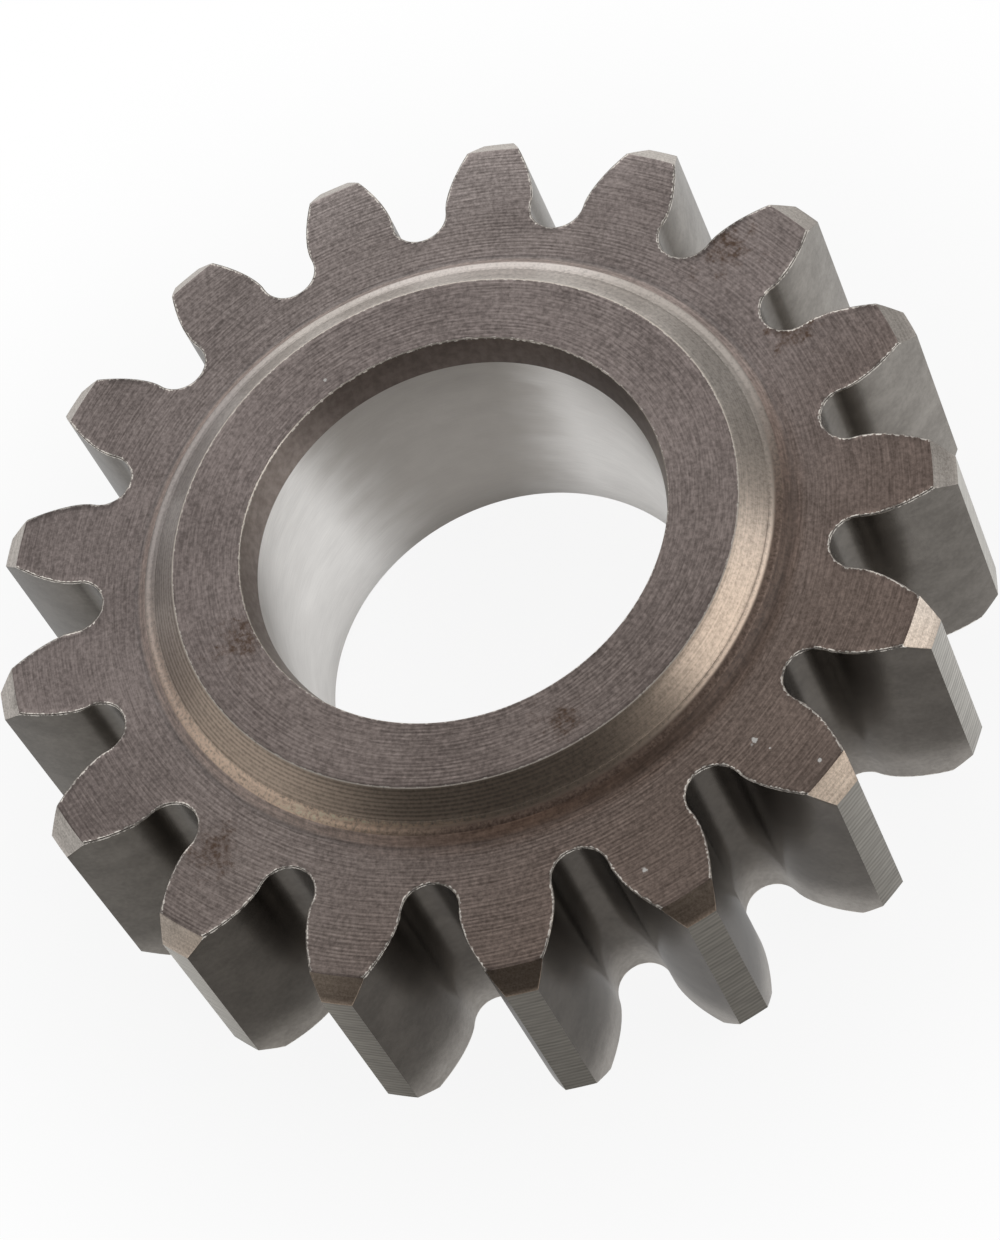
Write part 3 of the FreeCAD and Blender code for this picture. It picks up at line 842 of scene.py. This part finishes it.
def tooth_flank():
    """Flanks and roots: smooth hobbed steel, green-grey, with soft clouds and faint cross marks, with
    painted shade on the near side and painted reflections that lighten the low ends and far flanks.
    """
    finish = SteelFinish("tooth_flank_steel")
    clouds = finish.noise(finish.place, 0.5, 3.0, 0.55)
    speckle = finish.noise(finish.place, 4.0, 4.0, 0.6)
    marks = finish.noise(finish.streaks(0.7, 0.9, finish.z), 1.0, 2.0)
    tone = finish.weighted((clouds, 0.5), (speckle, 0.3), (marks, 0.2))
    colour = finish.blend(finish.step(tone, 0.3, 0.7), FLANK_DARK, FLANK_LIGHT)
    # Painted shade on the near flanks, full above z -1 mm and faint at their low ends.
    shaded = finish.product(finish.step(finish.towards(10), 4.0, 18.0),
                            finish.step(finish.z, -6.0, -1.0, 0.1, 1.0))
    colour = finish.tint(colour, shaded, (0.51, 0.49, 0.47))
    # Painted shade towards 295 degrees.
    colour = finish.side_tint(colour, 295, 13.0, 20.0, (0.76, 0.75, 0.73))
    # Painted reflection: the near flanks lighter at their low ends, where they mirror the open floor.
    painted_light_low_end = finish.product(finish.step(finish.towards(0), 2.0, 16.0),
                             finish.step(finish.z, -5.9, -3.0, 1.0, 0.0))
    colour = finish.tint(colour, painted_light_low_end, (2.15, 2.20, 2.26))
    # Painted reflection: the far flanks lighter towards 140 degrees, away from the roots.
    painted_light_far_flanks = finish.product(finish.step(finish.towards(140), 12.0, 20.0),
                              finish.step(finish.across, 19.6, 21.8))
    colour = finish.tint(colour, painted_light_far_flanks, (1.64, 1.67, 1.69))
    colour, roughness = bare_edges(finish, colour, 0.27, 0.06)
    return finish.finish(colour, roughness, finish.bump(speckle, 0.0012))


def bare_lip():
    """The ragged lip itself: bright bare steel with a fine grain, cleaner at the hub."""
    finish = SteelFinish("bare_lip_steel")
    finish.shader.inputs["Metallic"].default_value = 0.45
    grain = finish.noise(finish.place, 5.0, 3.0, 0.7)
    cleaner = finish.step(finish.across, 15.0, 16.0, 0.22, 0.0)
    share = finish.step(finish.math("ADD", grain, cleaner), 0.49, 0.65)
    colour = finish.blend(share, LIP_DARK, LIP_LIGHT)
    return finish.finish(colour, 0.34, finish.bump(grain, 0.004))


WHEEL_FINISHES = [turned_face_steel, hub_band_steel, lead_in_steel, ground_bore_steel,
                  tip_chamfer(), tip_land(), tooth_flank(), bare_lip()]
for steel in WHEEL_FINISHES:
    wheel_mesh.materials.append(steel)
print("wheel finishes:", [steel.name for steel in WHEEL_FINISHES])

# %% [markdown]
# ## Floor and backdrop
# In the picture the wheel floats on plain white. A white floor far from the object does that, but
# close to it the floor has to keep a soft shadow, or the wheel would hover. So the floor is a pale
# matt sheet near the wheel, and turns into plain white light at a distance, as a studio's sweep
# does. The white is only there for rays from the camera and for reflections, and lights nothing.
# %% Lay the floor
FLOOR_HALF = 900.0
floor_mesh = bpy.data.meshes.new("studio_floor")
floor_corners = np.array([[-1, -1, 0], [1, -1, 0], [1, 1, 0], [-1, 1, 0]]) * FLOOR_HALF * MM
floor_mesh.from_pydata(floor_corners + np.array([0, 0, REAR_HUB * MM]), [], [[0, 1, 2, 3]])
floor = bpy.data.objects.new("studio_floor", floor_mesh)
bpy.context.scene.collection.objects.link(floor)


def backdrop_share(graph, for_camera, for_mirrors):
    """One share for rays from the camera, another for mirrored and refracted ones, 0 for the rest."""
    path = graph.nodes.new("ShaderNodeLightPath").outputs
    mirrored = graph.math("MAXIMUM", path["Is Glossy Ray"], path["Is Transmission Ray"])
    straight = graph.product(path["Is Camera Ray"], for_camera)
    return graph.math("MAXIMUM", straight, graph.product(mirrored, for_mirrors))


def floor_paper():
    """Pale matt paper near the wheel that turns to plain white light further out.

    The steps are of the distance from the axis, here in metres, as Object coordinates are.
    """
    paper = bpy.data.materials.new("floor_paper")
    paper.use_nodes = True
    graph = Graph(paper.node_tree)
    shader = graph.nodes["Principled BSDF"]
    shader.inputs["Base Color"].default_value = (0.86, 0.86, 0.86, 1)
    shader.inputs["Roughness"].default_value = 0.9
    shader.inputs["Specular IOR Level"].default_value = 0.1
    place = graph.add("ShaderNodeTexCoord", {}, output="Object")
    away = graph.add("ShaderNodeVectorMath", {0: place}, output="Value", operation="LENGTH")
    white = graph.add("ShaderNodeEmission", {"Color": (1, 1, 1, 1), "Strength": 1.0})
    # Painted reflection: under the bore, mirrored rays see the floor nearly white, though it lies in the
    # wheel's shade there.
    in_bore = graph.step(away, 0.0095, 0.012, 0.95, 0.45)
    beyond_wheel = graph.step(away, 0.022, 0.050, 0.91, 1.0)
    far_off = graph.step(away, 0.030, 0.070)
    share = backdrop_share(graph, beyond_wheel, graph.math("MAXIMUM", in_bore, far_off))
    mixed = graph.add("ShaderNodeMixShader", {0: share, 1: shader.outputs[0], 2: white})
    graph.links.new(mixed, graph.nodes["Material Output"].inputs["Surface"])
    return paper


floor_mesh.materials.append(floor_paper())
print("floor at", REAR_HUB, "mm,", 2 * FLOOR_HALF, "mm wide")

# %% [markdown]
# ## The studio
# Metal has hardly any colour of its own: it shows the room. This room was read back from the
# wheel, because each part of the hub's slope mirrors a known direction. There is one large soft
# box, a dim ceiling, a brighter far wall, and the dark side where the photographer stands. Small
# lamps would give hard glints, so the soft box is a large area lamp and the rest is the world, as
# soft steps of direction. An even white world would be simpler, but then all the steel would have
# one flat tone.
# %% Light the studio
def direction(azimuth, elevation):
    """The unit vector towards an azimuth, counted from +X to +Y, and an elevation, in degrees."""
    turn = math.radians(azimuth)
    rise = math.radians(elevation)
    return Vector((math.cos(turn) * math.cos(rise), math.sin(turn) * math.cos(rise), math.sin(rise)))


def soft_box(name, azimuth, elevation, distance, width, height, radiance):
    """An area lamp that faces the wheel. Its power is the radiance times pi times its area."""
    data = bpy.data.lights.new(name, "AREA")
    data.shape = "RECTANGLE"
    data.size = width * MM
    data.size_y = height * MM
    data.energy = radiance * math.pi * data.size * data.size_y
    lamp = bpy.data.objects.new(name, data)
    bpy.context.scene.collection.objects.link(lamp)
    towards = direction(azimuth, elevation)
    lamp.location = towards * distance * MM
    lamp.rotation_mode = "QUATERNION"
    lamp.rotation_quaternion = towards.to_track_quat("Z", "Y")
    print(name, "power %.3f W" % data.energy)


soft_box("key_soft_box", azimuth=86, elevation=36, distance=700, width=560, height=300, radiance=1.9)

world = bpy.data.worlds.new("studio_room")
world.use_nodes = True
bpy.context.scene.world = world


def studio_room():
    """The world: white for the camera, and a dim room with a dark side for everything else.

    Each part of the room is a soft step of the cosine between the ray and a direction.
    """
    graph = Graph(world.node_tree)
    ray = graph.add("ShaderNodeTexCoord", {}, output="Generated")
    ray = graph.add("ShaderNodeVectorMath", {0: ray}, operation="NORMALIZE")

    def cosine(azimuth, elevation):
        """The cosine between the ray and a direction."""
        return graph.add("ShaderNodeVectorMath", {0: ray, 1: direction(azimuth, elevation)},
                         output="Value", operation="DOT_PRODUCT")

    ceiling = graph.step(cosine(0, 90), 0.45, 0.97, 0.52, 0.16)
    far_wall = graph.step(cosine(188, 30), 0.72, 0.97, 0.0, 0.62)
    dark_side = graph.step(cosine(350, 42), 0.57, 0.90, 1.0, 0.12)
    dim_corner = graph.step(cosine(236, 0), 0.80, 0.96, 1.0, 0.55)
    low_corner = graph.step(cosine(138, 7), 0.84, 0.98, 1.0, 0.60)
    level = graph.product(graph.math("ADD", ceiling, far_wall), dark_side, dim_corner, low_corner)
    camera_ray = graph.nodes.new("ShaderNodeLightPath").outputs["Is Camera Ray"]
    dimmed = graph.product(level, graph.math("SUBTRACT", 1.0, camera_ray))
    strength = graph.math("ADD", dimmed, camera_ray)
    background = graph.nodes["Background"]
    background.inputs["Color"].default_value = (1, 1, 1, 1)
    graph.links.new(strength, background.inputs["Strength"])


studio_room()
bpy.context.scene.view_settings.view_transform = "Standard"
